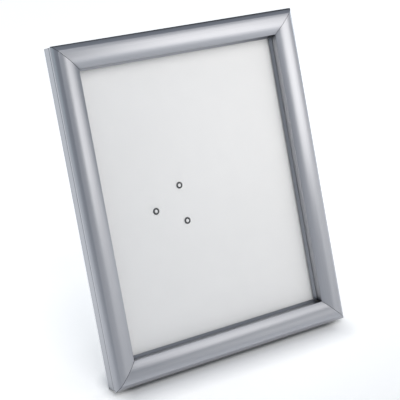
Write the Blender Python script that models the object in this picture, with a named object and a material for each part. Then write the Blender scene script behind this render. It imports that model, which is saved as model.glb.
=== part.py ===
# A poster frame for a counter: four base rails joined by corner keys, four lids that
# snap open at the front, a clear cover sheet over a white backing panel, and a folding
# strut riveted to the back of the panel.
# Lengths are in metres. The frame is drawn upright with its front towards -Y, and one
# empty leans it back about the lower back edge of its bottom rail.
# A rail's section is drawn in two lengths: the inset from the frame's outermost edge,
# and the depth behind the plane of the creases on the fronts of the lids.

import math

import bmesh
import bpy
from mathutils import Matrix, Vector

# Clearances and working lengths
GAP = 0.0003              # between pieces that touch
WELD = 0.00001            # vertices this close become one
CUT_OVERRUN = 0.0020      # how far a cutter passes the wall that it cuts

# What the frame takes, and the panel behind it
POSTER_WIDTH = 0.2032
POSTER_HEIGHT = 0.2540
SHEET_WALL = 0.0005
PANEL_WALL = 0.0025
PANEL_INSET = 0.0155      # edge of the panel, from the outermost edge of the frame
PANEL_CORNER = 0.0020

# Angles
LEAN = math.radians(20)
LID_OPEN = math.radians(80)
STRUT_SPREAD = math.radians(35)

# Section of a lid
LID_WALL = 0.0013
CREASE_INSET = 0.0043
SHOULDER_DEPTH = 0.0046
SHOULDER_BULGE = 0.0006
EDGE_INSET = 0.0211       # edge where the arched face turns down into the lip
EDGE_DEPTH = 0.0031
FACE_BULGE = 0.00147
LIP_INSET = 0.0236        # foot of the lip, which holds the cover sheet
LIP_DEPTH = 0.0121
BEAD_RADIUS = 0.0013
BEAD_SIDE = 0.0002        # how far the bead lies inside the outermost edge
BEAD_NECK = math.radians(-82)
HINGE_INSET = BEAD_SIDE + BEAD_RADIUS
HINGE_DEPTH = 0.0066
RIB_INSET = 0.0075
RIB_WALL = 0.0011
RIB_DEPTH = 0.0050

# Section of a base rail
BASE_INSET = 0.0007
BASE_WALL = 0.0014
SPLIT_DROP = 0.0002       # slope of the wall's top, down to its outer face
SEAT_RADIUS = BEAD_RADIUS + GAP
SEAT_WALL = 0.0010
SEAT_LIP = math.radians(-48)
WEB_WALL = 0.0017
WEB_INSET = 0.0240
FENCE_WALL = 0.0014
FLANGE_WALL = 0.0010
FLANGE_REACH = 0.0014

# Corner keys and their grub screws
KEY_WALL = 0.0028
KEY_LEG = 0.0360          # end of a leg, from the outermost edge across it
KEY_CHAMFER = 0.0020
SCREW_RADIUS = 0.0020
SCREW_STAND = 0.0002      # how far a screw stands out of its key
SCREW_INSET = 0.0280
SOCKET_RADIUS = 0.0011
SOCKET_DEPTH = 0.0014

# Leaf springs of the lids
SPRING_WALL = 0.0004
SPRING_WIDTH = 0.0140
SPRING_LEAF_INSET = 0.0050
SPRING_BEND = 0.0012
SPRING_KNEE_DEPTH = 0.0098
SPRING_CATCH = 0.0002     # how much of the rib the spring lies beside
SPRING_CURL = 0.0008
SPRING_SPREAD_SHARE = 0.42  # place of a spring, as a share of half its rail

# Hollow rivets of the strut, which show on the front of the panel
RIVET_HEAD = 0.0005
RIVET_HEAD_RADIUS = 0.0029
RIVET_TAIL_RADIUS = 0.0027
RIVET_SHANK_RADIUS = 0.0021
RIVET_BORE_RADIUS = 0.0015
RIVET_PITCH_RADIUS = 0.0180
RIVET_START = math.radians(63)
RIVET_COUNT = 3

# Strut plate, seen from the front: its centre from the centre of the frame
STRUT_SHIFT_X = -0.0280
STRUT_SHIFT_Z = -0.0062
PLATE_WALL = 0.0010
PLATE_RIM = 0.0055        # plate round the rivets' pitch circle
LUG_WALL = 0.0012
LUG_RADIUS = 0.0034
PIN_STAND = 0.0042        # pin's axis behind the plate
PIN_RADIUS = 0.0013
PIN_HEAD_RADIUS = 0.0022
PIN_HEAD_WALL = 0.0008

# Strut leg, a channel drawn straight down from the pin, and its foot
LEG_WIDTH = 0.0190
LEG_WALL = 0.0012
LEG_FRONT = 0.0026        # the flanges' reach towards the frame, from the pin
LEG_BACK = 0.0031         # the web's outer face, from the pin
LEG_TAPER_FRONT = 0.0004
LEG_NOTCH = 0.0052        # the web starts this far below the pin, clear of its barrel
FOOT_WALL = 0.0018
FOOT_GRIP = 0.0120
FOOT_SOLE = 0.0030
FOOT_CORNER = 0.0015

# The small dark hole in the side of the top rail
HOLE_RADIUS = 0.0012
HOLE_SHIFT = 0.0170
HOLE_BELOW_SPLIT = 0.0016

# Facets
FACE_STEPS = 18
SHOULDER_STEPS = 8
BEAD_STEPS = 14
SEAT_STEPS = 12
BEND_STEPS = 4
KEY_CORNER_STEPS = 2
ROUND_STEPS = 32
DISC_STEPS = 48
HOLE_STEPS = 24
SCREW_STEPS = 18
SCREW_HOLE_STEPS = 16
SOCKET_SIDES = 6
SHARP_BEND = math.radians(24)

# Depths of the pieces, from the cover sheet back
SHEET_FRONT = LIP_DEPTH + GAP
SHEET_BACK = SHEET_FRONT + SHEET_WALL
PANEL_FRONT = SHEET_BACK + GAP + RIVET_HEAD + GAP
PANEL_BACK = PANEL_FRONT + PANEL_WALL
WEB_FRONT = PANEL_BACK + GAP
BODY_DEPTH = WEB_FRONT + WEB_WALL
KEY_BACK = WEB_FRONT - GAP
KEY_FRONT = KEY_BACK - KEY_WALL
FLANGE_BACK = KEY_FRONT - GAP
FENCE_FRONT = FLANGE_BACK - FLANGE_WALL

# Overall sizes, and the channel that holds the keys and the springs
FRAME_WIDTH = POSTER_WIDTH + 2 * PANEL_INSET
FRAME_HEIGHT = POSTER_HEIGHT + 2 * PANEL_INSET
FENCE_INSET = PANEL_INSET - GAP - FENCE_WALL
CHANNEL_INSET = BASE_INSET + BASE_WALL
KEY_OUTER = CHANNEL_INSET + GAP
KEY_INNER = FENCE_INSET - GAP
KEY_MIDDLE = (KEY_OUTER + KEY_INNER) / 2

# Places in the leaning frame: z from the resting edge, y from the back of the rails
CENTRE_Z = FRAME_HEIGHT / 2 - BASE_INSET
STRUT_Z = CENTRE_Z + STRUT_SHIFT_Z
PLATE_FRONT_Y = PANEL_BACK - BODY_DEPTH + GAP
PLATE_BACK_Y = PLATE_FRONT_Y + PLATE_WALL
PIN_Y = PLATE_BACK_Y + PIN_STAND
PIN_HEIGHT = STRUT_Z * math.cos(LEAN) - PIN_Y * math.sin(LEAN)
STRUT_TILT = STRUT_SPREAD - LEAN      # the leg's angle from upright at rest

# The origin lies under the middle of the box that the object fills
FRONT_REACH = BODY_DEPTH * math.cos(LEAN) - (CREASE_INSET - BASE_INSET) * math.sin(LEAN)
BACK_REACH = (FRAME_HEIGHT - 2 * BASE_INSET) * math.sin(LEAN)
LEAN_SHIFT = (FRONT_REACH - BACK_REACH) / 2

# Turns about Y that carry the bottom rail to each side
SIDE_TURNS = {
    "bottom": 0.0,
    "left": math.radians(90),
    "top": math.radians(180),
    "right": math.radians(270),
}

# (inset, depth, along) to a rail's X along, Y back, Z inwards
SECTION_AXES = Matrix(((0, 0, -1, 0), (0, 1, 0, 0), (1, 0, 0, 0), (0, 0, 0, 1)))
# (right, up, forward) to X, Z, -Y, for flat pieces that lie in the frame
FLAT_AXES = Matrix(((1, 0, 0, 0), (0, 0, -1, 0), (0, 1, 0, 0), (0, 0, 0, 1)))
# (back, up, right) to Y, Z, X, for plates that stand across the frame
CROSS_AXES = Matrix(((0, 0, 1, 0), (1, 0, 0, 0), (0, 1, 0, 0), (0, 0, 0, 1)))


def clear_scene():
    for thing in list(bpy.data.objects):
        bpy.data.objects.remove(thing, do_unlink=True)


def new_collection(name):
    collection = bpy.data.collections.new(name)
    bpy.context.scene.collection.children.link(collection)
    return collection


def new_finish(name, colour, roughness, metallic=0.0, alpha=1.0):
    finish = bpy.data.materials.new(name)
    finish.use_nodes = True
    shader = finish.node_tree.nodes["Principled BSDF"]
    shader.inputs["Base Color"].default_value = (*colour, 1.0)
    shader.inputs["Roughness"].default_value = roughness
    shader.inputs["Metallic"].default_value = metallic
    shader.inputs["Alpha"].default_value = alpha
    finish.diffuse_color = (*colour, alpha)
    return finish


# Outlines in two lengths

def on_circle(centre, radius, angle):
    return Vector((centre[0] + radius * math.cos(angle), centre[1] + radius * math.sin(angle)))


def circle_points(centre, radius, start, end, steps):
    return [on_circle(centre, radius, start + (end - start) * i / steps) for i in range(steps + 1)]


def bulged_points(start, end, bulge, steps):
    # an arc that stands "bulge" to the left of the straight line from start to end
    start, end = Vector(start), Vector(end)
    chord = end - start
    left = Vector((-chord.y, chord.x)).normalized()
    radius = (chord.length_squared / 4 + bulge * bulge) / (2 * bulge)
    centre = (start + end) / 2 - left * (radius - bulge)
    half = math.asin(chord.length / (2 * radius))
    middle = math.atan2(left.y, left.x)
    return circle_points(centre, radius, middle + half, middle - half, steps)


def ring(centre, radius, steps=ROUND_STEPS):
    return circle_points(centre, radius, 0.0, 2 * math.pi, steps)[:-1]


def offset_points(path, distance):
    # the open path moved to its left, with its corners kept sharp
    ways = [(b - a).normalized() for a, b in zip(path, path[1:])]
    moved = []
    for i, point in enumerate(path):
        before = ways[max(i - 1, 0)]
        after = ways[min(i, len(ways) - 1)]
        left = Vector((-before.y - after.y, before.x + after.x)).normalized()
        stretch = left.dot(Vector((-after.y, after.x)))
        moved.append(point + left * (distance / stretch))
    return moved


def rounded_points(corners, radii, closed=False, steps=BEND_STEPS):
    # the path with each corner replaced by an arc; a radius of zero keeps it sharp
    points = []
    count = len(corners)
    for i, corner in enumerate(corners):
        corner = Vector(corner)
        at_end = not closed and i in (0, count - 1)
        if at_end or radii[i] == 0:
            points.append(corner)
            continue
        to_last = (Vector(corners[i - 1]) - corner).normalized()
        to_next = (Vector(corners[(i + 1) % count]) - corner).normalized()
        half = to_last.angle(to_next) / 2
        run = radii[i] / math.tan(half)
        centre = corner + (to_last + to_next).normalized() * (radii[i] / math.sin(half))
        first = corner + to_last * run - centre
        last = corner + to_next * run - centre
        turn = first.angle_signed(last)
        angle = math.atan2(first.y, first.x)
        points += circle_points(centre, radii[i], angle, angle - turn, steps)
    return points


def rectangle(left, right, low, high):
    return [(left, low), (right, low), (right, high), (left, high)]


# Solids

def finish_object(name, mesh, finish, smooth):
    part = bpy.data.objects.new(name, mesh)
    PARTS.objects.link(part)
    mesh.materials.clear()
    mesh.materials.append(finish)
    if smooth:
        mesh.shade_smooth()
        mesh.set_sharp_from_angle(angle=SHARP_BEND)
    part.parent = LEANING
    return part


def extruded_mesh(name, outlines, half_length):
    # a flat outline, and any holes in it, filled and given its thickness
    curve = bpy.data.curves.new(name, "CURVE")
    curve.dimensions = "2D"
    curve.fill_mode = "BOTH"
    curve.extrude = half_length
    for outline in outlines:
        spline = curve.splines.new("POLY")
        spline.points.add(len(outline) - 1)
        for point, (across, up) in zip(spline.points, outline):
            point.co = (across, up, 0.0, 1.0)
        spline.use_cyclic_u = True
    drawn = bpy.data.objects.new(name, curve)
    GUIDES.objects.link(drawn)
    bpy.context.view_layer.update()
    evaluated = drawn.evaluated_get(bpy.context.evaluated_depsgraph_get())
    mesh = bpy.data.meshes.new_from_object(evaluated)
    bpy.data.objects.remove(drawn, do_unlink=True)
    work = bmesh.new()
    work.from_mesh(mesh)
    bmesh.ops.remove_doubles(work, verts=work.verts, dist=WELD)
    bmesh.ops.recalc_face_normals(work, faces=work.faces)
    work.to_mesh(mesh)
    work.free()
    mesh.name = name
    return mesh


def plate(name, outlines, half_length, axes, finish, place, smooth=False):
    mesh = extruded_mesh(name, outlines, half_length)
    mesh.transform(axes)
    part = finish_object(name, mesh, finish, smooth)
    part.location = place
    return part


def turned_mesh(name, profile, axis):
    # a closed profile of (radius, length along the axis), spun about the Z axis
    work = bmesh.new()
    verts = [work.verts.new((radius, 0.0, along)) for radius, along in profile]
    edges = [work.edges.new((a, b)) for a, b in zip(verts, verts[1:] + verts[:1])]
    bmesh.ops.spin(work, geom=verts + edges, cent=(0, 0, 0), axis=(0, 0, 1),
                   angle=2 * math.pi, steps=ROUND_STEPS, use_merge=True)
    bmesh.ops.remove_doubles(work, verts=work.verts, dist=WELD)
    bmesh.ops.recalc_face_normals(work, faces=work.faces)
    mesh = bpy.data.meshes.new(name)
    work.to_mesh(mesh)
    work.free()
    mesh.transform(axis)
    return mesh


def rod_mesh(name, radius, length, sides, axis):
    work = bmesh.new()
    bmesh.ops.create_cone(work, cap_ends=True, segments=sides, radius1=radius, radius2=radius,
                          depth=length)
    mesh = bpy.data.meshes.new(name)
    work.to_mesh(mesh)
    work.free()
    mesh.transform(axis)
    return mesh


def guide(name, mesh, place, parent):
    # a hidden shape that is cut out of a piece or joined to it
    shape = bpy.data.objects.new(name, mesh)
    GUIDES.objects.link(shape)
    shape.location = place
    shape.parent = parent
    shape.hide_render = True
    shape.display_type = "WIRE"
    return shape


def combine(part, shape, operation):
    step = part.modifiers.new(shape.name, "BOOLEAN")
    step.operation = operation
    step.solver = "EXACT"
    step.object = shape


# The sections of the lids and of the base rails

def lid_inset_reach(inset, depth):
    # the furthest inwards that a point of the lid's section comes as the lid opens
    across, back = inset - HINGE_INSET, depth - HINGE_DEPTH
    radius = math.hypot(across, back)
    angle = math.atan2(back, across)
    if 0 <= angle <= LID_OPEN:
        return HINGE_INSET + radius
    opened = HINGE_INSET + radius * math.cos(LID_OPEN - angle)
    return max(inset, opened)


def base_inset_reach(inset, depth):
    return inset


def add_rib(inner):
    # the inner side of the face runs outwards; a rib for the springs is let into it
    def depth_at(inset):
        for a, b in zip(inner, inner[1:]):
            if b.x <= inset <= a.x:
                return a.y + (b.y - a.y) * (a.x - inset) / (a.x - b.x)
        return inner[-1].y
    near, far = RIB_INSET, RIB_INSET + RIB_WALL
    rib = [Vector((far, depth_at(far))), Vector((far, RIB_DEPTH)),
           Vector((near, RIB_DEPTH)), Vector((near, depth_at(near)))]
    before = [p for p in inner if p.x > far + WELD]
    after = [p for p in inner if p.x < near - WELD]
    return before + rib + after


def lid_outline():
    face = bulged_points((EDGE_INSET, EDGE_DEPTH), (CREASE_INSET, 0.0), FACE_BULGE, FACE_STEPS)
    shoulder = bulged_points((CREASE_INSET, 0.0), (0.0, SHOULDER_DEPTH), SHOULDER_BULGE,
                             SHOULDER_STEPS)
    outer = [Vector((LIP_INSET, LIP_DEPTH))] + face + shoulder[1:]
    inner = offset_points(outer + [Vector((BEAD_SIDE, HINGE_DEPTH))], -LID_WALL)[:-1]
    inner[0] = Vector((LIP_INSET - LID_WALL, LIP_DEPTH))
    bead = circle_points((HINGE_INSET, HINGE_DEPTH), BEAD_RADIUS, math.pi, BEAD_NECK, BEAD_STEPS)
    lip, face_inner = inner[:2], inner[2:]
    return outer + bead + list(reversed(lip + add_rib(face_inner)))


def base_outline():
    hinge = (HINGE_INSET, HINGE_DEPTH)
    seat_outer = SEAT_RADIUS + SEAT_WALL
    back = math.pi / 2
    seat = circle_points(hinge, SEAT_RADIUS, back, SEAT_LIP, SEAT_STEPS)
    root = math.acos((CHANNEL_INSET - HINGE_INSET) / seat_outer)
    shell = circle_points(hinge, seat_outer, SEAT_LIP, root, SEAT_STEPS)
    flange_inner = CHANNEL_INSET + FLANGE_REACH
    flange_outer = FENCE_INSET - FLANGE_REACH
    fence_inner = FENCE_INSET + FENCE_WALL
    wall_top = HINGE_DEPTH + SEAT_RADIUS + SPLIT_DROP
    return [Vector(p) for p in (
        (BASE_INSET, BODY_DEPTH), (BASE_INSET, wall_top))] + seat + shell + [Vector(p) for p in (
            (CHANNEL_INSET, FENCE_FRONT),
            (flange_inner, FENCE_FRONT),
            (flange_inner, FLANGE_BACK),
            (CHANNEL_INSET, FLANGE_BACK),
            (CHANNEL_INSET, WEB_FRONT),
            (FENCE_INSET, WEB_FRONT),
            (FENCE_INSET, FLANGE_BACK),
            (flange_outer, FLANGE_BACK),
            (flange_outer, FENCE_FRONT),
            (fence_inner, FENCE_FRONT),
            (fence_inner, WEB_FRONT),
            (WEB_INSET, WEB_FRONT),
            (WEB_INSET, BODY_DEPTH))]


def side_size(side):
    # the length of a side, and the distance across the frame from it
    if side in ("top", "bottom"):
        return FRAME_WIDTH, FRAME_HEIGHT
    return FRAME_HEIGHT, FRAME_WIDTH


def side_place(side, inset, along, depth):
    across = side_size(side)[1]
    turn = Matrix.Rotation(SIDE_TURNS[side], 3, "Y")
    place = turn @ Vector((along, 0.0, inset - across / 2))
    return place + Vector((0.0, depth - BODY_DEPTH, CENTRE_Z))


def mitred_rail(name, side, outline, origin, reach, finish):
    # the section, extruded along its side and cut back at both ends to the mitre
    length = side_size(side)[0]
    mesh = extruded_mesh(name, [outline], length / 2)
    trim = GAP / math.sqrt(2)
    for vertex in mesh.vertices:
        inset, depth, along = vertex.co
        end = length / 2 - reach(inset, depth) - trim
        vertex.co = (inset - origin[0], depth - origin[1], math.copysign(end, along))
    mesh.transform(SECTION_AXES)
    rail = finish_object(name, mesh, finish, True)
    rail.location = side_place(side, origin[0], 0.0, origin[1])
    rail.rotation_euler = (0.0, SIDE_TURNS[side], 0.0)
    return rail


def make_base_rails(finish):
    return {side: mitred_rail("base_rail_" + side, side, base_outline(), (0.0, 0.0),
                              base_inset_reach, finish) for side in SIDE_TURNS}


def make_lids(finish):
    for side in SIDE_TURNS:
        mitred_rail("lid_" + side, side, lid_outline(), (HINGE_INSET, HINGE_DEPTH),
                    lid_inset_reach, finish)


def cut_top_hole(rail):
    depth = HINGE_DEPTH + SEAT_RADIUS + HOLE_BELOW_SPLIT + HOLE_RADIUS
    mesh = rod_mesh("top_hole", HOLE_RADIUS, BASE_WALL + 2 * CUT_OVERRUN, ROUND_STEPS,
                    Matrix.Identity(4))
    middle = BASE_INSET + BASE_WALL / 2
    place = side_place("top", middle, -HOLE_SHIFT, depth)
    combine(rail, guide("top_hole", mesh, place, LEANING), "DIFFERENCE")


# Corner keys, screws and springs

def key_holes():
    return [(SCREW_INSET, KEY_MIDDLE), (KEY_MIDDLE, SCREW_INSET)]


def corner_places():
    # each corner's name, its place in the plane of the frame and its turn about Y
    half_width, half_height = FRAME_WIDTH / 2, FRAME_HEIGHT / 2
    return (
        ("bottom_left", (-half_width, -half_height), SIDE_TURNS["bottom"]),
        ("top_left", (-half_width, half_height), SIDE_TURNS["left"]),
        ("top_right", (half_width, half_height), SIDE_TURNS["top"]),
        ("bottom_right", (half_width, -half_height), SIDE_TURNS["right"]),
    )


def make_corner_keys(finish):
    corners = [(KEY_OUTER, KEY_OUTER), (KEY_LEG, KEY_OUTER), (KEY_LEG, KEY_INNER),
               (KEY_INNER, KEY_INNER), (KEY_INNER, KEY_LEG), (KEY_OUTER, KEY_LEG)]
    radii = [KEY_CHAMFER, KEY_CHAMFER, KEY_CHAMFER, 0, KEY_CHAMFER, KEY_CHAMFER]
    outline = rounded_points(corners, radii, closed=True, steps=KEY_CORNER_STEPS)
    holes = [ring(centre, SCREW_RADIUS + GAP, SCREW_HOLE_STEPS) for centre in key_holes()]
    for name, (x, z), turn in corner_places():
        depth = (KEY_FRONT + KEY_BACK) / 2
        key = plate("corner_key_" + name, [outline] + holes, KEY_WALL / 2, FLAT_AXES, finish,
                    (x, depth - BODY_DEPTH, z + CENTRE_Z))
        key.rotation_euler = (0.0, turn, 0.0)


def make_key_screws(finish):
    # grub screws, each with a six-sided socket in its front end
    length = KEY_WALL + SCREW_STAND
    to_front = Matrix.Rotation(math.pi / 2, 4, "X")
    for name, (x, z), turn in corner_places():
        about = Matrix.Rotation(turn, 4, "Y")
        for end, (across, up) in zip("ab", key_holes()):
            place = about @ Vector((across, 0.0, up)) + Vector((x, 0.0, z + CENTRE_Z))
            place.y = KEY_BACK - length / 2 - BODY_DEPTH
            mesh = rod_mesh("key_screw", SCREW_RADIUS, length, SCREW_STEPS, to_front)
            screw = finish_object("key_screw_" + name + "_" + end, mesh, finish, True)
            screw.location = place
            socket = rod_mesh("socket", SOCKET_RADIUS, 2 * SOCKET_DEPTH, SOCKET_SIDES, to_front)
            hollow = guide("socket", socket, (0.0, -length / 2, 0.0), screw)
            combine(screw, hollow, "DIFFERENCE")


def spring_outline():
    # a foot in the channel, a leaf that stands up, and a tip that leans on the lid's rib
    tip_inset = RIB_INSET - GAP - SPRING_WALL
    tip_depth = RIB_DEPTH - SPRING_CATCH
    corners = [(KEY_INNER, KEY_BACK), (SPRING_LEAF_INSET, KEY_BACK),
               (SPRING_LEAF_INSET, SPRING_KNEE_DEPTH), (tip_inset, tip_depth),
               (tip_inset - SPRING_CURL, tip_depth - SPRING_CURL)]
    radii = [0, SPRING_BEND, SPRING_BEND, SPRING_WALL, 0]
    path = rounded_points(corners, radii)
    return path + list(reversed(offset_points(path, SPRING_WALL)))


def make_springs(finish):
    outline = spring_outline()
    for side in SIDE_TURNS:
        length = side_size(side)[0]
        for end, way in (("a", -1), ("b", 1)):
            along = way * SPRING_SPREAD_SHARE * length / 2
            spring = plate("lid_spring_" + side + "_" + end, [outline], SPRING_WIDTH / 2,
                           SECTION_AXES, finish, side_place(side, 0.0, along, 0.0), True)
            spring.rotation_euler = (0.0, SIDE_TURNS[side], 0.0)


# Cover sheet, backing panel and the rivets through it

def rivet_places():
    angles = [RIVET_START + 2 * math.pi * i / RIVET_COUNT for i in range(RIVET_COUNT)]
    return [on_circle((STRUT_SHIFT_X, STRUT_SHIFT_Z), RIVET_PITCH_RADIUS, a) for a in angles]


def panel_outline():
    half_width, half_height = POSTER_WIDTH / 2, POSTER_HEIGHT / 2
    corners = rectangle(-half_width, half_width, -half_height, half_height)
    return rounded_points(corners, [PANEL_CORNER] * 4, closed=True)


def make_cover_sheet(finish):
    middle = (SHEET_FRONT + SHEET_BACK) / 2 - BODY_DEPTH
    plate("cover_sheet", [panel_outline()], SHEET_WALL / 2, FLAT_AXES, finish,
          (0.0, middle, CENTRE_Z))


def make_backing_panel(finish):
    holes = [ring(place, RIVET_SHANK_RADIUS + GAP, HOLE_STEPS) for place in rivet_places()]
    middle = (PANEL_FRONT + PANEL_BACK) / 2 - BODY_DEPTH
    plate("backing_panel", [panel_outline()] + holes, PANEL_WALL / 2, FLAT_AXES, finish,
          (0.0, middle, CENTRE_Z))


def make_rivets(finish):
    head_back = PANEL_FRONT - BODY_DEPTH - GAP
    head_front = head_back - RIVET_HEAD
    tail_front = PLATE_BACK_Y + GAP
    tail_back = tail_front + RIVET_HEAD
    dome = RIVET_HEAD / 2
    profile = [
        (RIVET_BORE_RADIUS, head_front), (RIVET_HEAD_RADIUS - dome, head_front),
        (RIVET_HEAD_RADIUS, head_front + dome), (RIVET_HEAD_RADIUS, head_back),
        (RIVET_SHANK_RADIUS, head_back), (RIVET_SHANK_RADIUS, tail_front),
        (RIVET_TAIL_RADIUS, tail_front), (RIVET_TAIL_RADIUS, tail_back - dome),
        (RIVET_TAIL_RADIUS - dome, tail_back), (RIVET_BORE_RADIUS, tail_back)]
    to_back = Matrix.Rotation(-math.pi / 2, 4, "X")
    for i, place in enumerate(rivet_places()):
        mesh = turned_mesh("strut_rivet", profile, to_back)
        rivet = finish_object("strut_rivet_" + str(i + 1), mesh, finish, True)
        rivet.location = (place.x, 0.0, place.y + CENTRE_Z)


# The strut

def make_strut_plate(finish):
    centre = (STRUT_SHIFT_X, STRUT_SHIFT_Z)
    disc = ring(centre, RIVET_PITCH_RADIUS + PLATE_RIM, DISC_STEPS)
    holes = [ring(place, RIVET_SHANK_RADIUS + GAP, HOLE_STEPS) for place in rivet_places()]
    middle = (PLATE_FRONT_Y + PLATE_BACK_Y) / 2
    part = plate("strut_plate", [disc] + holes, PLATE_WALL / 2, FLAT_AXES, finish,
                 (0.0, middle, CENTRE_Z))
    root = -PIN_STAND - PLATE_WALL / 2
    lug = [Vector((root, -LUG_RADIUS))] + circle_points(
        (0.0, 0.0), LUG_RADIUS, -math.pi / 2, math.pi / 2, SEAT_STEPS) + [
            Vector((root, LUG_RADIUS))]
    hole = ring((0.0, 0.0), PIN_RADIUS + GAP, HOLE_STEPS)
    for way in (-1, 1):
        mesh = extruded_mesh("lug", [lug, hole], LUG_WALL / 2)
        mesh.transform(CROSS_AXES)
        shift = way * (LEG_WIDTH / 2 + GAP + LUG_WALL / 2)
        place = (STRUT_SHIFT_X + shift, PIN_Y, STRUT_Z)
        combine(part, guide("lug", mesh, place, LEANING), "UNION")


def make_strut_pin(finish):
    half = LEG_WIDTH / 2 + GAP + LUG_WALL + GAP
    end = half + PIN_HEAD_WALL
    profile = [(0.0, -end), (PIN_HEAD_RADIUS, -end), (PIN_HEAD_RADIUS, -half),
               (PIN_RADIUS, -half), (PIN_RADIUS, half), (PIN_HEAD_RADIUS, half),
               (PIN_HEAD_RADIUS, end), (0.0, end)]
    mesh = turned_mesh("strut_pin", profile, Matrix.Rotation(math.pi / 2, 4, "Y"))
    pin = finish_object("strut_pin", mesh, finish, True)
    pin.location = (STRUT_SHIFT_X, PIN_Y, STRUT_Z)


def ground_below(back):
    # height of the ground in the leg's own frame, at a distance behind its pin
    return -(PIN_HEIGHT + back * math.sin(STRUT_TILT)) / math.cos(STRUT_TILT)


def make_strut_leg(finish):
    stop = (PIN_STAND - GAP - LEG_FRONT * math.cos(STRUT_SPREAD)) / math.sin(STRUT_SPREAD)
    low = ground_below(0.0) + FOOT_SOLE + GAP
    web_front = LEG_BACK - LEG_WALL
    flange = rounded_points(
        [(-LEG_FRONT, stop), (LEG_BACK, stop), (LEG_BACK, low), (-LEG_TAPER_FRONT, low)],
        [0, LEG_WALL, 0, LEG_WALL], closed=True)
    hole = ring((0.0, 0.0), PIN_RADIUS + GAP, HOLE_STEPS)
    flange_shift = (LEG_WIDTH - LEG_WALL) / 2
    half = LEG_WIDTH / 2
    web = rectangle(-half, half, low, -LEG_NOTCH)
    mesh = extruded_mesh("strut_leg", [web], LEG_WALL / 2)
    mesh.transform(FLAT_AXES)
    mesh.transform(Matrix.Translation((0.0, (web_front + LEG_BACK) / 2, 0.0)))
    leg = finish_object("strut_leg", mesh, finish, False)
    leg.location = (STRUT_SHIFT_X, PIN_Y, STRUT_Z)
    leg.rotation_euler = (STRUT_SPREAD, 0.0, 0.0)
    for way in (-1, 1):
        mesh = extruded_mesh("flange", [flange, hole], LEG_WALL / 2)
        mesh.transform(CROSS_AXES)
        combine(leg, guide("flange", mesh, (way * flange_shift, 0.0, 0.0), leg), "UNION")


def make_strut_foot(finish):
    # a moulded boot over the end of the leg, cut level with the ground
    low = ground_below(0.0) + FOOT_SOLE
    front = -LEG_FRONT
    back = LEG_BACK + GAP + FOOT_WALL
    top = low + FOOT_GRIP
    side = rounded_points([(front, ground_below(front)), (back, ground_below(back)),
                           (back, top), (front, top)], [0, 0, FOOT_CORNER, FOOT_CORNER],
                          closed=True)
    half = LEG_WIDTH / 2 + GAP + FOOT_WALL
    mesh = extruded_mesh("strut_foot", [side], half)
    mesh.transform(CROSS_AXES)
    foot = finish_object("strut_foot", mesh, finish, False)
    foot.location = (STRUT_SHIFT_X, PIN_Y, STRUT_Z)
    foot.rotation_euler = (STRUT_SPREAD, 0.0, 0.0)
    pocket = rectangle(-LEG_WIDTH / 2 - GAP, LEG_WIDTH / 2 + GAP, low, top + CUT_OVERRUN)
    mesh = extruded_mesh("pocket", [pocket], (LEG_BACK + GAP + LEG_TAPER_FRONT + GAP) / 2)
    mesh.transform(FLAT_AXES)
    middle = (LEG_BACK - LEG_TAPER_FRONT) / 2
    combine(foot, guide("pocket", mesh, (0.0, middle, 0.0), foot), "DIFFERENCE")


clear_scene()
PARTS = new_collection("poster_frame")
GUIDES = new_collection("guides")
LEANING = bpy.data.objects.new("leaning_frame", None)
PARTS.objects.link(LEANING)
LEANING.location = (0.0, LEAN_SHIFT, 0.0)
LEANING.rotation_euler = (-LEAN, 0.0, 0.0)

anodised = new_finish("satin_anodised_aluminium", (0.62, 0.63, 0.66), 0.34, 1.0)
milled = new_finish("milled_aluminium", (0.56, 0.57, 0.58), 0.45, 1.0)
spring_steel = new_finish("spring_steel", (0.34, 0.35, 0.37), 0.35, 1.0)
zinc = new_finish("zinc_plated_steel", (0.55, 0.56, 0.58), 0.4, 1.0)
clear = new_finish("clear_plastic_sheet", (0.95, 0.97, 0.98), 0.1, 0.0, 0.3)
white_board = new_finish("white_board", (0.83, 0.83, 0.84), 0.6)
rubber = new_finish("black_rubber", (0.03, 0.03, 0.03), 0.7)

rails = make_base_rails(anodised)
cut_top_hole(rails["top"])
make_lids(anodised)
make_corner_keys(milled)
make_key_screws(zinc)
make_springs(spring_steel)
make_cover_sheet(clear)
make_backing_panel(white_board)
make_rivets(zinc)
make_strut_plate(zinc)
make_strut_pin(zinc)
make_strut_leg(zinc)
make_strut_foot(rubber)
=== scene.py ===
# Looks of the counter poster frame: satin anodised rails and snap-open lids drawn with
# finer sections than the CAD has, their fittings, the white backing panel and the strut.
# Lengths are in metres, in the frame of the CAD model.

import math

import bmesh
import bpy
from mathutils import Matrix, Vector


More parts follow.
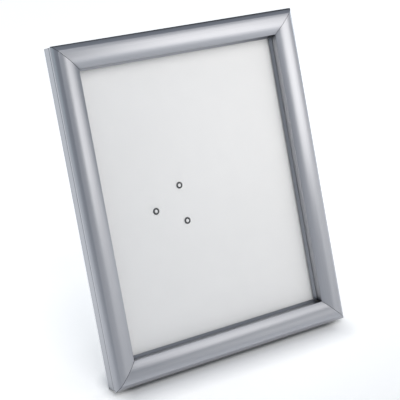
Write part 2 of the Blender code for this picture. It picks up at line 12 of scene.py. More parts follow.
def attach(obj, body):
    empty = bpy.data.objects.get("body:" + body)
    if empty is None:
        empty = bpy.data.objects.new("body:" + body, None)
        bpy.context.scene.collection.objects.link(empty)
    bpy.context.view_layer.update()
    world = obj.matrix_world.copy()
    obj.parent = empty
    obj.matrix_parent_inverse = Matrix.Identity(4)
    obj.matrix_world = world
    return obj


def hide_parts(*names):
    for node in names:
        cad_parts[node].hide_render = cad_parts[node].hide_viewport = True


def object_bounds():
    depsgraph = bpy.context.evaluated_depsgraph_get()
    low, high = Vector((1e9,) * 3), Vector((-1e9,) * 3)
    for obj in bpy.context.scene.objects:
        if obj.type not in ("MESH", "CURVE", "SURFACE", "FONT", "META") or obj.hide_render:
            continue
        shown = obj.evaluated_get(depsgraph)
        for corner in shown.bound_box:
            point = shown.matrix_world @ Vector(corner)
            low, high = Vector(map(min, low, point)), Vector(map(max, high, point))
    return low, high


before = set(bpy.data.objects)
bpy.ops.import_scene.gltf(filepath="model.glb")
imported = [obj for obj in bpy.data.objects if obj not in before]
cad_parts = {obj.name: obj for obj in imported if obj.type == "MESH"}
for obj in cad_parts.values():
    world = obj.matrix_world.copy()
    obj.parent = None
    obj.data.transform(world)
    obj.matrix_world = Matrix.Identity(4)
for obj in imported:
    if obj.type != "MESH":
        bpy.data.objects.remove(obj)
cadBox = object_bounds()


# Sizes that several pieces share, the same as in the CAD model
body = {
    "gap": 0.0003,
    "width": 0.2342,
    "height": 0.2850,
    "depth": 0.0185,
    "baseInset": 0.0007,
    "lean": math.radians(20),
    "leanShift": -0.0404218,
    "lidOpen": math.radians(80),
    "hinge": (0.0015, 0.0066),
    "beadRadius": 0.0013,
}

sideTurns = {
    "bottom": 0.0,
    "left": math.radians(90),
    "top": math.radians(180),
    "right": math.radians(270),
}

centreHeight = body["height"] / 2 - body["baseInset"]
leaning = Matrix.Translation((0, body["leanShift"], 0)) @ Matrix.Rotation(-body["lean"], 4, "X")


# Materials

# Nearly all values of a noise lie in the first range; the second gives clearer patches
noiseRange = (0.3, 0.7)
patchRange = (0.35, 0.65)


def linearColour(hexText):
    # an sRGB colour such as "C8CBD0" as linear red, green, blue and alpha
    channels = [int(hexText[i:i + 2], 16) / 255 for i in (0, 2, 4)]
    return [c / 12.92 if c <= 0.04045 else ((c + 0.055) / 1.055) ** 2.4 for c in channels] + [1]


def setInputs(tree, node, values):
    # each value is a socket to link, or a plain value for the input to keep
    for name, value in values.items():
        if isinstance(value, bpy.types.NodeSocket):
            tree.links.new(value, node.inputs[name])
        else:
            node.inputs[name].default_value = value


def addNode(tree, kind, values=None, **settings):
    # settings are the node's own, and values go to its inputs
    node = tree.nodes.new(kind)
    for name, value in settings.items():
        setattr(node, name, value)
    setInputs(tree, node, values or {})
    return node


def newMaterial(name):
    material = bpy.data.materials.new(name)
    material.use_nodes = True
    tree = material.node_tree
    return material, tree, tree.nodes["Principled BSDF"]


def objectPlace(tree):
    return addNode(tree, "ShaderNodeTexCoord").outputs["Object"]


def mapRange(tree, value, low, high, start=0.0, end=1.0):
    return addNode(tree, "ShaderNodeMapRange", {
        "Value": value, "From Min": start, "From Max": end, "To Min": low,
        "To Max": high}).outputs["Result"]


def mixColour(tree, factor, first, second):
    # a mix node has its two colours at inputs 6 and 7, and the mixed one at output 2
    values = {0: factor, 6: first, 7: second}
    return addNode(tree, "ShaderNodeMix", values, data_type="RGBA").outputs[2]


def mixFinish(tree, pattern, span, finish):
    # the finish's light and dark tones, mixed by a noise over the given span of its values
    return mixColour(tree, mapRange(tree, pattern, 0.0, 1.0, *span),
                     linearColour(finish["light"]), linearColour(finish["dark"]))


def noise(tree, place, size, detail, roughness=0.5):
    # cloudy values whose lumps are about "size" across
    return addNode(tree, "ShaderNodeTexNoise", {
        "Vector": place, "Scale": 1 / size, "Detail": detail,
        "Roughness": roughness}).outputs["Fac"]


def grainNormal(tree, grain, finish):
    return addNode(tree, "ShaderNodeBump", {
        "Height": grain, "Distance": finish["grainDepth"],
        "Strength": finish["grainStrength"]}).outputs["Normal"]


# Satin anodised aluminium: an even grey sheen, with faint lines where the bar was drawn
# through its die and a fine etched grain over them; painted shade darkens narrow joints and
# hollows
anodised = {
    "light": "ADAEB3",
    "dark": "A8AAAF",
    # painted shade: the dark colour, reach and samples of the occlusion darkening in joints and
    # hollows
    "paintedShade": "20262B",
    "paintedShadeReach": 0.0055,
    "paintedShadeStart": 0.4,
    "paintedShadeSamples": 8,
    "roughness": (0.28, 0.33),
    "lineSpacing": 0.0009,
    "lineLength": 0.120,
    "lineDetail": 3.0,
    "lineRoughness": 0.6,
    "grain": 0.00035,
    "grainDetail": 2.0,
    "grainDepth": 0.000004,
    "grainStrength": 1.0,
    "stretch": 0.35,
}


def makeAnodised():
    material, tree, shader = newMaterial("satin_anodised_aluminium")
    uv = addNode(tree, "ShaderNodeUVMap", uv_map="draw").outputs["UV"]
    along = addNode(tree, "ShaderNodeMapping", {
        "Vector": uv, "Scale": (1 / anodised["lineLength"], 1 / anodised["lineSpacing"], 1)})
    lines = noise(tree, along.outputs["Vector"], 1.0, anodised["lineDetail"],
                  anodised["lineRoughness"])
    grain = noise(tree, uv, anodised["grain"], anodised["grainDetail"])
    # painted shade: an occlusion mask darkens the colour in joints, grooves and at the lips'
    # foot, where shade falls
    opening = addNode(tree, "ShaderNodeAmbientOcclusion", {
        "Distance": anodised["paintedShadeReach"]}, samples=anodised["paintedShadeSamples"]).outputs["AO"]
    colour = mixColour(tree, mapRange(tree, opening, 1.0, 0.0, anodised["paintedShadeStart"], 1.0),
                       mixFinish(tree, lines, noiseRange, anodised),
                       linearColour(anodised["paintedShade"]))
    tangent = addNode(tree, "ShaderNodeTangent", direction_type="UV_MAP", uv_map="draw")
    setInputs(tree, shader, {
        "Base Color": colour,
        "Metallic": 1.0,
        "Roughness": mapRange(tree, grain, *anodised["roughness"], *noiseRange),
        "Anisotropic": anodised["stretch"],
        "Tangent": tangent.outputs["Tangent"],
        "Normal": grainNormal(tree, grain, anodised),
    })
    return material


# White backing board: matt white with a barely seen skin texture
board = {
    "light": "F6F5F3",
    "dark": "F4F3F1",
    "cloud": 0.09,
    "cloudDetail": 2.0,
    "grain": 0.0011,
    "grainDetail": 3.0,
    "grainDepth": 0.00001,
    "grainStrength": 0.6,
    "roughness": (0.5, 0.62),
}


def makeBoard():
    material, tree, shader = newMaterial("matt_white_board")
    place = objectPlace(tree)
    grain = noise(tree, place, board["grain"], board["grainDetail"])
    cloud = noise(tree, place, board["cloud"], board["cloudDetail"])
    setInputs(tree, shader, {
        "Base Color": mixFinish(tree, cloud, patchRange, board),
        "Roughness": mapRange(tree, grain, *board["roughness"], *noiseRange),
        "Normal": grainNormal(tree, grain, board),
    })
    return material


# Clear cover sheet: almost unseen, with a thin gloss and faint handling marks
clear = {
    "tint": "FAFAFA",
    "marks": 0.012,
    "marksDetail": 4.0,
    "roughness": (0.06, 0.1),
    "cover": (0.035, 0.045),
    "ior": 1.49,
}


def makeClear():
    material, tree, shader = newMaterial("clear_plastic_sheet")
    marks = noise(tree, objectPlace(tree), clear["marks"], clear["marksDetail"])
    setInputs(tree, shader, {
        "Base Color": linearColour(clear["tint"]),
        "Roughness": mapRange(tree, marks, *clear["roughness"], *noiseRange),
        "IOR": clear["ior"],
        "Alpha": mapRange(tree, marks, *clear["cover"], *noiseRange),
    })
    return material


# Zinc plate: cool bright grey with soft mottling from the plating bath
zinc = {
    "light": "BDC2C8",
    "dark": "A2A7AE",
    "mottle": 0.004,
    "grain": 0.0006,
    "grainDepth": 0.000006,
    "roughness": (0.24, 0.38),
}

# Milled aluminium: paler and duller than the anodised rails, with a coarse tooth
milled = {
    "light": "B9BBBE",
    "dark": "A5A7AA",
    "mottle": 0.0012,
    "grain": 0.0003,
    "grainDepth": 0.000012,
    "roughness": (0.36, 0.5),
}

# Rivet flanges: nearly black and shiny, a painted shade for the shadow gap round each head, so
# each rivet shows as a thin dark ring
rivetSteel = {
    "light": "3A3C40",
    "dark": "1E2023",
    "mottle": 0.0016,
    "grain": 0.0003,
    "grainDepth": 0.000003,
    "roughness": (0.14, 0.24),
}

# Spring steel: smooth mid grey, with broad faint clouds from its heat treatment
springSteel = {
    "light": "7C8188",
    "dark": "62666E",
    "mottle": 0.005,
    "grain": 0.0004,
    "grainDepth": 0.000004,
    "roughness": (0.22, 0.34),
}

# What the four mottled metals share
mottled = {
    "mottleDetail": 4.0,
    "mottleRoughness": 0.65,
    "grainDetail": 2.0,
    "grainStrength": 1.0,
}


def makeMottledMetal(name, values):
    finish = {**mottled, **values}
    material, tree, shader = newMaterial(name)
    place = objectPlace(tree)
    mottle = noise(tree, place, finish["mottle"], finish["mottleDetail"],
                   finish["mottleRoughness"])
    grain = noise(tree, place, finish["grain"], finish["grainDetail"])
    setInputs(tree, shader, {
        "Base Color": mixFinish(tree, mottle, patchRange, finish),
        "Metallic": 1.0,
        "Roughness": mapRange(tree, mottle, *finish["roughness"], *noiseRange),
        "Normal": grainNormal(tree, grain, finish),
    })
    return material


# Moulded rubber: near-black, matt, with a fine spark-eroded skin
rubber = {
    "light": "2C2D2E",
    "dark": "1F2021",
    "grain": 0.0004,
    "grainDetail": 3.0,
    "grainDepth": 0.00003,
    "grainStrength": 0.8,
    "roughness": (0.6, 0.8),
}


def makeRubber():
    material, tree, shader = newMaterial("black_rubber")
    grain = noise(tree, objectPlace(tree), rubber["grain"], rubber["grainDetail"])
    setInputs(tree, shader, {
        "Base Color": mixFinish(tree, grain, noiseRange, rubber),
        "Roughness": mapRange(tree, grain, *rubber["roughness"], *noiseRange),
        "Normal": grainNormal(tree, grain, rubber),
    })
    return material


anodisedMetal = makeAnodised()
boardWhite = makeBoard()
clearSheet = makeClear()
zincMetal = makeMottledMetal("zinc_plated_steel", zinc)
milledMetal = makeMottledMetal("milled_aluminium", milled)
springMetal = makeMottledMetal("spring_steel", springSteel)
# painted shade: the rivet flanges are made nearly black to stand for the shadow gap round each
# head
rivetMetal = makeMottledMetal("rivet_flange_painted_shade", rivetSteel)
rubberBlack = makeRubber()
print("materials made")


# Outlines in two lengths, and how their corners are rounded
rounding = {
    "leastBend": math.radians(25),
    "sideShare": 0.4,
    "steps": 3,
}


def arcPoints(centre, radius, start, end, steps):
    angles = [start + (end - start) * i / steps for i in range(steps + 1)]
    return [Vector((centre[0] + radius * math.cos(a), centre[1] + radius * math.sin(a)))
            for a in angles]


def bulgedPoints(start, end, bulge, steps):
    # an arc that stands "bulge" to the left of the straight line from start to end
    start, end = Vector(start), Vector(end)
    chord = end - start
    left = Vector((-chord.y, chord.x)).normalized()
    radius = (chord.length_squared / 4 + bulge * bulge) / (2 * bulge)
    centre = (start + end) / 2 - left * (radius - bulge)
    half = math.asin(chord.length / (2 * radius))
    middle = math.atan2(left.y, left.x)
    return arcPoints(centre, radius, middle + half, middle - half, steps)


def offsetPath(path, distance):
    # the open path moved to its left, with its corners kept sharp
    ways = [(b - a).normalized() for a, b in zip(path, path[1:])]
    moved = []
    for i, point in enumerate(path):
        before = ways[max(i - 1, 0)]
        after = ways[min(i, len(ways) - 1)]
        left = Vector((-before.y - after.y, before.x + after.x)).normalized()
        moved.append(point + left * (distance / left.dot(Vector((-after.y, after.x)))))
    return moved


def easeCorners(outline, radius):
    # a closed outline with every clear corner rounded; it takes a share of its sides at most
    share = rounding["sideShare"]
    eased = []
    count = len(outline)
    for i, corner in enumerate(outline):
        toLast = outline[i - 1] - corner
        toNext = outline[(i + 1) % count] - corner
        bend = math.pi - toLast.angle(toNext)
        if bend < rounding["leastBend"]:
            eased.append(corner)
            continue
        half = (math.pi - bend) / 2
        run = min(radius / math.tan(half), share * toLast.length, share * toNext.length)
        size = run * math.tan(half)
        toLast.normalize()
        toNext.normalize()
        centre = corner + (toLast + toNext).normalized() * (size / math.sin(half))
        first = corner + toLast * run - centre
        last = corner + toNext * run - centre
        turn = first.angle_signed(last)
        start = math.atan2(first.y, first.x)
        eased += arcPoints(centre, size, start, start - turn, rounding["steps"])
    return eased


# Rails and lids are both a section pushed along one side of the frame and mitred

def sideSize(side):
    if side in ("top", "bottom"):
        return body["width"], body["height"]
    return body["height"], body["width"]


def sideMatrix(side):
    # carries (along, depth, inset) of a side to the leaning frame
    across = sideSize(side)[1]
    turn = Matrix.Rotation(sideTurns[side], 4, "Y")
    start = Matrix.Translation((0, -body["depth"], -across / 2))
    return leaning @ Matrix.Translation((0, 0, centreHeight)) @ turn @ start


def newObject(work, name, material=None):
    mesh = bpy.data.meshes.new(name)
    work.to_mesh(mesh)
    work.free()
    if material:
        mesh.materials.append(material)
    made = bpy.data.objects.new(name, mesh)
    bpy.context.scene.collection.objects.link(made)
    return made


def shadeEvenly(piece):
    piece.modifiers.new("even_shading", "WEIGHTED_NORMAL").keep_sharp = True


def finishPiece(work, name, material, rides, stands, sharp):
    # turns the bmesh into an object in its place, shaded smooth between its sharp edges
    bmesh.ops.recalc_face_normals(work, faces=work.faces)
    piece = newObject(work, name, material)
    piece.data.shade_smooth()
    piece.data.set_sharp_from_angle(angle=sharp)
    shadeEvenly(piece)
    if stands:
        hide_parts(*stands)
    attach(piece, rides)
    return piece


def pushedSection(outline, side, reach):
    # the closed outline of (inset, depth) extruded along its side, with a map along the bar
    work = bmesh.new()
    girths = work.verts.layers.float.new("girth")
    length = sideSize(side)[0]
    verts, girth = [], 0.0
    for i, point in enumerate(outline):
        if i:
            girth += (point - outline[i - 1]).length
        vertex = work.verts.new((-length / 2, point.y, point.x))
        vertex[girths] = girth
        verts.append(vertex)
    total = girth + (outline[0] - outline[-1]).length
    edges = [work.edges.new((a, b)) for a, b in zip(verts, verts[1:] + verts[:1])]
    pushed = bmesh.ops.extrude_edge_only(work, edges=edges)["geom"]
    farEdges = [g for g in pushed if isinstance(g, bmesh.types.BMEdge)]
    farVerts = [g for g in pushed if isinstance(g, bmesh.types.BMVert)]
    bmesh.ops.translate(work, verts=farVerts, vec=(length, 0, 0))
    far = set(farVerts)
    farRing = [e for e in farEdges if e.verts[0] in far and e.verts[1] in far]
    bmesh.ops.contextual_create(work, geom=edges)
    bmesh.ops.contextual_create(work, geom=farRing)
    trim = body["gap"] / math.sqrt(2)
    for vertex in work.verts:
        depth, inset = vertex.co.y, vertex.co.z
        end = length / 2 - reach(inset, depth) - trim
        vertex.co.x = math.copysign(end, vertex.co.x)
    # the map runs along the bar and round its section, and lies flat on the cut ends
    draw = work.loops.layers.uv.new("draw")
    for face in work.faces:
        around = [loop.vert[girths] for loop in face.loops]
        onEnd = len(around) > 4
        wraps = not onEnd and max(around) - min(around) > total / 2
        for loop, value in zip(face.loops, around):
            if wraps and value < total / 2:
                value += total
            loop[draw].uv = (loop.vert.co.x, value)
            if onEnd:
                loop[draw].uv = (loop.vert.co.z, loop.vert.co.y)
    return work


def straightReach(inset, depth):
    # a plain mitre at 45 degrees
    return inset


def openingReach(inset, depth):
    # the furthest inwards that a point of a lid comes while the lid opens
    hinge = body["hinge"]
    across, back = inset - hinge[0], depth - hinge[1]
    radius = math.hypot(across, back)
    angle = math.atan2(back, across)
    if 0 <= angle <= body["lidOpen"]:
        return hinge[0] + radius
    return max(inset, hinge[0] + radius * math.cos(body["lidOpen"] - angle))


# Lids: an arched face between a lip that holds the sheet, with a small foot turned
# inwards, and a shoulder at the hinge
lid = {
    "wall": 0.0013,
    "crease": (0.0043, 0.0),
    "shoulderEnd": (0.0, 0.0046),
    "shoulderBulge": 0.0006,
    "edge": (0.0211, 0.0031),
    "faceBulge": 0.00147,
    "lip": (0.0236, 0.0121),
    "lipStep": (0.0212, 0.0100),
    "beadSide": 0.0002,
    "neck": math.radians(-82),
    "ribInset": 0.0075,
    "ribWall": 0.0011,
    "ribDepth": 0.0050,
    "easing": 0.00016,
    "faceSteps": 40,
    "shoulderSteps": 14,
    "beadSteps": 32,
    "sharp": math.radians(12),
}


def lidInnerSide(inner):
    # the inner side of the face, with the rib that the springs press let into it
    near = lid["ribInset"]
    far = near + lid["ribWall"]

    def depthAt(inset):
        for a, b in zip(inner, inner[1:]):
            if b.x <= inset <= a.x:
                return a.y + (b.y - a.y) * (a.x - inset) / (a.x - b.x)
        return inner[-1].y

    rib = [Vector((far, depthAt(far))), Vector((far, lid["ribDepth"])),
           Vector((near, lid["ribDepth"])), Vector((near, depthAt(near)))]
    return [p for p in inner if p.x > far] + rib + [p for p in inner if p.x < near]


def lidOutline():
    face = bulgedPoints(lid["edge"], lid["crease"], lid["faceBulge"], lid["faceSteps"])
    shoulder = bulgedPoints(lid["crease"], lid["shoulderEnd"], lid["shoulderBulge"],
                            lid["shoulderSteps"])
    hinge = body["hinge"]
    outer = [Vector(lid["lip"]), Vector(lid["lipStep"])] + face + shoulder[1:]
    inner = offsetPath(outer + [Vector((lid["beadSide"], hinge[1]))], -lid["wall"])[:-1]
    inner[0] = Vector((lid["lip"][0] - lid["wall"], lid["lip"][1]))
    bead = arcPoints(hinge, body["beadRadius"], math.pi, lid["neck"], lid["beadSteps"])
    return outer + bead + list(reversed(inner[:2] + lidInnerSide(inner[2:])))


def makeLids():
    outline = easeCorners(lidOutline(), lid["easing"])
    for side in sideTurns:
        name = "lid_" + side
        work = pushedSection(outline, side, openingReach)
        work.transform(sideMatrix(side))
        finishPiece(work, name + "_extrusion", anodisedMetal, name, [name],
                    lid["sharp"])


makeLids()
print("lids made")


# Base rails: an outer wall with the lids' hinge seat, a channel for the corner keys,
# a fence round the panel and a web behind it
rail = {
    "wall": 0.0014,
    "splitDrop": 0.0010,
    "seatWall": 0.0010,
    "seatLip": math.radians(-48),
    "flangeFront": 0.0124,
    "flangeBack": 0.0134,
    "flangeReach": 0.0014,
    "fence": (0.0138, 0.0152),
    "webFront": 0.0168,
    "webInset": 0.0240,
    "easing": 0.00014,
    "seatSteps": 20,
    "sharp": math.radians(30),
    "holeRadius": 0.0012,
    "holeShift": 0.0170,
    "holeBelowSplit": 0.0016,
    "holeSteps": 40,
    "drillLength": 0.0056,
}


def railOutline():
    hinge = body["hinge"]
    seatRadius = body["beadRadius"] + body["gap"]
    shellRadius = seatRadius + rail["seatWall"]
    channel = body["baseInset"] + rail["wall"]
    seat = arcPoints(hinge, seatRadius, math.pi / 2, rail["seatLip"], rail["seatSteps"])
    root = math.acos((channel - hinge[0]) / shellRadius)
    shell = arcPoints(hinge, shellRadius, rail["seatLip"], root, rail["seatSteps"])
    wallTop = hinge[1] + seatRadius + rail["splitDrop"]
    flangeInner = channel + rail["flangeReach"]
    fenceOuter, fenceInner = rail["fence"]
    flangeOuter = fenceOuter - rail["flangeReach"]
    front, back = rail["flangeFront"], rail["flangeBack"]
    first = [(body["baseInset"], body["depth"]), (body["baseInset"], wallTop)]
    rest = [(channel, front), (flangeInner, front), (flangeInner, back), (channel, back),
            (channel, rail["webFront"]), (fenceOuter, rail["webFront"]), (fenceOuter, back),
            (flangeOuter, back), (flangeOuter, front), (fenceInner, front),
            (fenceInner, rail["webFront"]), (rail["webInset"], rail["webFront"]),
            (rail["webInset"], body["depth"])]
    return [Vector(p) for p in first] + seat + shell + [Vector(p) for p in rest]


def drillTopHole(piece):
    # a small round hole through the outer wall of the top rail, below the split
    split = body["hinge"][1] + body["beadRadius"] + body["gap"]
    depth = split + rail["holeBelowSplit"] + rail["holeRadius"]
    work = bmesh.new()
    bmesh.ops.create_cone(work, cap_ends=True, segments=rail["holeSteps"],
                          radius1=rail["holeRadius"], radius2=rail["holeRadius"],
                          depth=rail["drillLength"])
    middle = body["baseInset"] + rail["wall"] / 2
    place = Matrix.Translation((-rail["holeShift"], depth, middle))
    work.transform(sideMatrix("top") @ place)
    drill = newObject(work, "hole_drill")
    cut = piece.modifiers.new("hole", "BOOLEAN")
    cut.operation, cut.solver, cut.object = "DIFFERENCE", "EXACT", drill
    piece.modifiers.remove(piece.modifiers["even_shading"])
    bpy.context.view_layer.update()
    evaluated = piece.evaluated_get(bpy.context.evaluated_depsgraph_get())
    drilled = bpy.data.meshes.new_from_object(evaluated)
    piece.modifiers.clear()
    piece.data = drilled
    drilled.set_sharp_from_angle(angle=rail["sharp"])
    shadeEvenly(piece)
    bpy.data.objects.remove(drill, do_unlink=True)


def makeRails():
    outline = easeCorners(railOutline(), rail["easing"])
    for side in sideTurns:
        name = "base_rail_" + side
        work = pushedSection(outline, side, straightReach)
        work.transform(sideMatrix(side))
        piece = finishPiece(work, name + "_extrusion", anodisedMetal, "frame", [name],
                            rail["sharp"])
        if side == "top":
            drillTopHole(piece)


makeRails()
print("base rails made")


# Hollow rivets of the strut: a rolled flange, painted nearly black as shade, round a white core
rivet = {
    "count": 3,
    "centre": (-0.0280, -0.0062),
    "pitchRadius": 0.0180,
    "startAngle": math.radians(63),
    "bore": 0.0015,
    "shank": 0.0021,
    "flange": 0.0029,
    "tail": 0.0027,
    "headFront": 0.0132,
    "headBack": 0.0137,
    "tailFront": 0.0181,
    "tailBack": 0.0186,
    "rollShare": 0.8,
    "coreGap": 0.00004,
    "coreInset": 0.00035,
    "coreDome": 0.0003,
    "rollSteps": 14,
    "domeSteps": 8,
    "turnSteps": 48,
    "weld": 0.000005,
    "sharp": math.radians(40),
}


def spunPiece(name, profile, place, material, rides, stands):
    # a profile of (radius, depth) spun about the line through place, square to the panel
    work = bmesh.new()
    verts = [work.verts.new((radius, depth, 0)) for radius, depth in profile]
    edges = [work.edges.new((a, b)) for a, b in zip(verts, verts[1:] + verts[:1])]
    bmesh.ops.spin(work, geom=verts + edges, cent=(0, 0, 0), axis=(0, 1, 0),
                   angle=2 * math.pi, steps=rivet["turnSteps"], use_merge=True)
    bmesh.ops.remove_doubles(work, verts=work.verts, dist=rivet["weld"])
    work.transform(leaning @ Matrix.Translation(
        (place[0], -body["depth"], centreHeight + place[1])))
    return finishPiece(work, name, material, rides, stands, rivet["sharp"])


def evenAngles(end, steps):
    return [end * i / steps for i in range(steps + 1)]


def makeRivets():
    front, back = rivet["headFront"], rivet["headBack"]
    roll = (rivet["flange"] - rivet["bore"]) / 2
    middle = rivet["bore"] + roll
    rise = (back - front) * rivet["rollShare"]
    flange = [(middle - roll * math.cos(a), front + rise - rise * math.sin(a))
              for a in evenAngles(math.pi, rivet["rollSteps"])]
    tailMiddle = (rivet["shank"] + rivet["tail"]) / 2
    profile = flange + [(rivet["flange"], back), (rivet["shank"], back),
                        (rivet["shank"], rivet["tailFront"]), (rivet["tail"], rivet["tailFront"]),
                        (tailMiddle, rivet["tailBack"]), (rivet["bore"], rivet["tailBack"])]
    coreRadius = rivet["bore"] - rivet["coreGap"]
    top = front + rivet["coreInset"]
    dome = [(coreRadius * math.sin(a), top - rivet["coreDome"] * math.cos(a))
            for a in evenAngles(math.pi / 2, rivet["domeSteps"])]
    core = dome + [(coreRadius, rivet["tailBack"]), (0, rivet["tailBack"])]
    for i in range(rivet["count"]):
        angle = rivet["startAngle"] + 2 * math.pi * i / rivet["count"]
        place = (rivet["centre"][0] + rivet["pitchRadius"] * math.cos(angle),
                 rivet["centre"][1] + rivet["pitchRadius"] * math.sin(angle))
        name = "strut_rivet_" + str(i + 1)
        spunPiece(name + "_flange", profile, place, rivetMetal, "frame", [name])
        spunPiece(name + "_core", core, place, boardWhite, "frame", [])


makeRivets()
print("rivets made")


# Strut leg: a rib pressed into the outer face of its channel
legRib = {
    "pin": (-0.028, 0.009245, 0.126225),
    "tilt": math.radians(15),
    "back": 0.0031,
    "top": 0.0180,
    "bottom": 0.1040,
    "halfWidth": 0.0026,
    "rise": 0.0007,
    "sunk": 0.0001,
    "tipShare": 0.02,
    "steps": 10,
    "stations": 24,
    "sharp": math.radians(60),
}


def makeLegRib():
    # a half ellipse pushed along the leg and drawn in to a rounded point at both ends
    work = bmesh.new()
    length = legRib["bottom"] - legRib["top"]
    foot = legRib["back"] - legRib["sunk"]
    rings = []
    for i in range(legRib["stations"] + 1):
        along = length * i / legRib["stations"]
        near = min(max(min(along, length - along) / (2 * legRib["halfWidth"]), 0.0), 1.0)
        swell = max(math.sqrt(near * (2 - near)), legRib["tipShare"])
        ring = [work.verts.new((legRib["halfWidth"] * swell * math.cos(a),
                                foot + legRib["rise"] * swell * math.sin(a),
                                -legRib["top"] - along))
                for a in evenAngles(math.pi, legRib["steps"])]
        rings.append([work.edges.new((a, b)) for a, b in zip(ring, ring[1:])])
    for first, second in zip(rings, rings[1:]):
        bmesh.ops.bridge_loops(work, edges=first + second)
    turn = Matrix.Rotation(legRib["tilt"], 4, "X")
    work.transform(Matrix.Translation(legRib["pin"]) @ turn)
    finishPiece(work, "strut_leg_pressed_rib", zincMetal, "strut", [],
                legRib["sharp"])


makeLegRib()
print("leg rib made")


# CAD nodes that keep their shape get their finish, with their sharp edges eased:
# (how the names start, material, width of the eased edge, steps across it)
dressings = [
    ("corner_key_", milledMetal, 0.0002, 2),
    ("key_screw_", zincMetal, 0.00012, 2),
    ("strut_plate", zincMetal, 0.0002, 2),
    ("strut_pin", zincMetal, 0.0002, 2),
    ("strut_leg", zincMetal, 0.0004, 3),
    ("lid_spring_", springMetal, 0.00008, 2),
    ("cover_sheet", clearSheet, 0.0001, 2),
    ("backing_panel", boardWhite, 0.00025, 2),
    ("strut_foot", rubberBlack, 0.0006, 3),
]
dressing = {
    "weld": 0.00001,
    "leastEdge": math.radians(35),
}


def dress(start, material, ease, steps):
    for name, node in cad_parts.items():
        if not name.startswith(start):
            continue
        node.data.materials.clear()
        node.data.materials.append(material)
        node.modifiers.new("join", "WELD").merge_threshold = dressing["weld"]
        bevel = node.modifiers.new("ease", "BEVEL")
        bevel.width, bevel.segments = ease, steps
        bevel.limit_method, bevel.angle_limit = "ANGLE", dressing["leastEdge"]
        bevel.harden_normals = True
        shadeEvenly(node)


for row in dressings:
    dress(*row)
print("carried-over nodes dressed")


# Studio: a pale floor that stays white behind the object, soft lamps and a plain world.
# The floor glows for the camera and for reflections, less near the point glowFrom and
# not at all in the narrow strip where the frame stands: a painted shadow round the frame's foot
# and a darker floor for its lower edge to mirror
studio = {
    "floorSize": 12.0,
    "floorDrop": 0.0002,
    "floorColour": "F4F4F4",
    "floorRoughness": 0.9,
    "floorGlow": (0.18, 0.61),
    "glowFrom": (0.1, -0.55, 0.0),
    "glowReach": (0.30, 0.72),
    "contactMiddle": (0.0, -0.047, 0.0),
    "contactHalf": (0.100, 0.010, 1.0),
    "contactReach": 0.025,
    "worldColour": "E2EAF6",
    "worldStrength": 0.47,
}


def maths(tree, operation, *values):
    return addNode(tree, "ShaderNodeMath", dict(enumerate(values)),
                   operation=operation).outputs["Value"]


def vectorMaths(tree, operation, *values, output="Vector"):
    return addNode(tree, "ShaderNodeVectorMath", dict(enumerate(values)),
                   operation=operation).outputs[output]


def floorGlow(tree):
    place = objectPlace(tree)
    # painted shade: the glow is weaker towards glowFrom, in front of the frame, so the lower edge
    # mirrors a darker floor
    reach = vectorMaths(tree, "DISTANCE", place, studio["glowFrom"], output="Value")
    far = mapRange(tree, reach, *studio["floorGlow"], *studio["glowReach"])
    # painted shadow: the glow dies out towards the strip where the frame stands, darkening the
    # floor round its foot
    outside = vectorMaths(tree, "SUBTRACT", place, studio["contactMiddle"])
    outside = vectorMaths(tree, "ABSOLUTE", outside)
    outside = vectorMaths(tree, "SUBTRACT", outside, studio["contactHalf"])
    outside = vectorMaths(tree, "MAXIMUM", outside, (0, 0, 0))
    outside = vectorMaths(tree, "LENGTH", outside, output="Value")
    clearOf = mapRange(tree, outside, 0.0, 1.0, 0.0, studio["contactReach"])
    rays = addNode(tree, "ShaderNodeLightPath").outputs
    seen = maths(tree, "MAXIMUM", rays["Is Camera Ray"], rays["Is Glossy Ray"])
    seen = maths(tree, "MAXIMUM", seen, rays["Is Transmission Ray"])
    return maths(tree, "MULTIPLY", seen, maths(tree, "MULTIPLY", far, clearOf))


# Floor paint: matt and nearly white, so that the frame's shadow shows on it
def makeFloorPaint():
    material, tree, shader = newMaterial("floor_paint")
    setInputs(tree, shader, {
        "Base Color": linearColour(studio["floorColour"]),
        "Roughness": studio["floorRoughness"],
        "Emission Color": (1, 1, 1, 1),
        "Emission Strength": floorGlow(tree),
    })
    return material


def makeFloor():
    work = bmesh.new()
    bmesh.ops.create_grid(work, x_segments=1, y_segments=1, size=studio["floorSize"] / 2)
    height = cadBox[0][2] - studio["floorDrop"]
    bmesh.ops.translate(work, verts=work.verts, vec=(0, 0, height))
    floor = newObject(work, "floor", makeFloorPaint())


# Black card behind the frame and above the picture, which the top edge mirrors
card = {
    "middle": (0.50, 0.84, 0.78),
    "width": 1.1,
    "height": 0.60,
}


def makeCard():
    # a square of one metre, scaled to the card's size and turned to face the frame
    work = bmesh.new()
    bmesh.ops.create_grid(work, x_segments=1, y_segments=1, size=0.5)
    bmesh.ops.scale(work, verts=work.verts, vec=(card["width"], card["height"], 1))
    middle = Vector(card["middle"])
    turn = (middle - Vector((0, 0, centreHeight))).to_track_quat("Z", "Y")
    work.transform(Matrix.Translation(middle) @ turn.to_matrix().to_4x4())
    blackCard = newObject(work, "black_card", rubberBlack)
    blackCard.visible_camera = False


def makeWorld():
    world = bpy.data.worlds.new("studio")
    bpy.context.scene.world = world
    world.use_nodes = True
    tree = world.node_tree
    tree.nodes.clear()
    background = addNode(tree, "ShaderNodeBackground", {
        "Color": linearColour(studio["worldColour"]), "Strength": studio["worldStrength"]})
    addNode(tree, "ShaderNodeOutputWorld", {"Surface": background.outputs["Background"]})


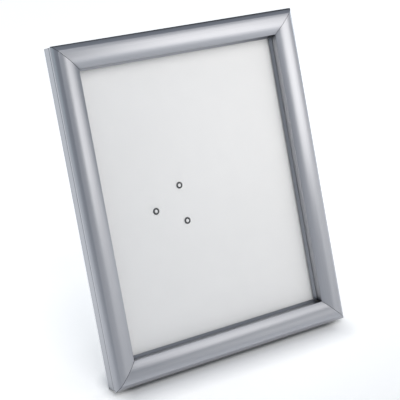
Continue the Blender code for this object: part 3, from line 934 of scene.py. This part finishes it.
# Lamps: (name, degrees to the right of the front, degrees up, metres from the middle of
# the frame, width, height, watts, colour); each faces the middle of the frame, but the key,
# a soft box with a grid, faces its right side
lamps = [
    ("key", 37, 27, 0.42, 0.27, 0.23, 0.10, "FFFBF5"),
    ("key_spread", 42, 30, 0.65, 0.55, 0.42, 0.30, "FFFBF5"),
    ("right_low", 48, 4, 1.0, 0.8, 0.3, 0.60, "FFFBF5"),
    ("front_low", 6, 5, 1.2, 1.1, 0.4, 0.42, "FFFBF5"),
    ("high_left", -10, 54, 1.2, 0.6, 0.6, 3.9, "FFFDFB"),
    ("left_side", -90, 12, 1.2, 0.5, 0.5, 0.25, "D6F4F6"),
    ("back_left", -150, 15, 1.2, 0.5, 0.5, 0.7, "E2F6FA"),
    ("back_right", 110, 15, 1.2, 0.5, 0.5, 2.8, "F2FBFF"),
]
keyBox = {
    "aim": (0.14, 0.0, 0.08),
    "grid": math.radians(100),
}


def makeLamps():
    target = Vector((0, 0, centreHeight))
    for name, right, up, distance, width, height, watts, colour in lamps:
        right, up = math.radians(right), math.radians(up)
        way = Vector((math.cos(up) * math.sin(right), -math.cos(up) * math.cos(right),
                      math.sin(up)))
        data = bpy.data.lights.new(name, "AREA")
        data.shape = "RECTANGLE"
        data.size, data.size_y = width, height
        data.energy = watts
        data.color = linearColour(colour)[:3]
        lamp = bpy.data.objects.new(name, data)
        lamp.location = target + way * distance
        aim = -way * distance
        if name == "key":
            aim += Vector(keyBox["aim"])
            data.spread = keyBox["grid"]
        lamp.rotation_euler = aim.to_track_quat("-Z", "Y").to_euler()
        lamp.visible_camera = False
        bpy.context.scene.collection.objects.link(lamp)


# Camera, where the photograph was taken from
camera = {
    "place": (-0.48486, -0.78144, 0.53706),
    "turn": (67.996, -0.067, -31.6055),
    "lens": 105.38,
    "sensor": 36.0,
    "shift": (0.0, -0.1),
    "clipEnd": 50.0,
}


def makeCamera():
    data = bpy.data.cameras.new("photo_view")
    data.lens = camera["lens"]
    data.sensor_width = camera["sensor"]
    data.shift_x, data.shift_y = camera["shift"]
    data.clip_end = camera["clipEnd"]
    view = bpy.data.objects.new("photo_view", data)
    view.location = camera["place"]
    view.rotation_euler = [math.radians(a) for a in camera["turn"]]
    bpy.context.scene.collection.objects.link(view)
    bpy.context.scene.camera = view


makeFloor()
makeCard()
makeWorld()
makeLamps()
makeCamera()
bpy.context.scene.view_settings.view_transform = "Standard"
print("studio made")
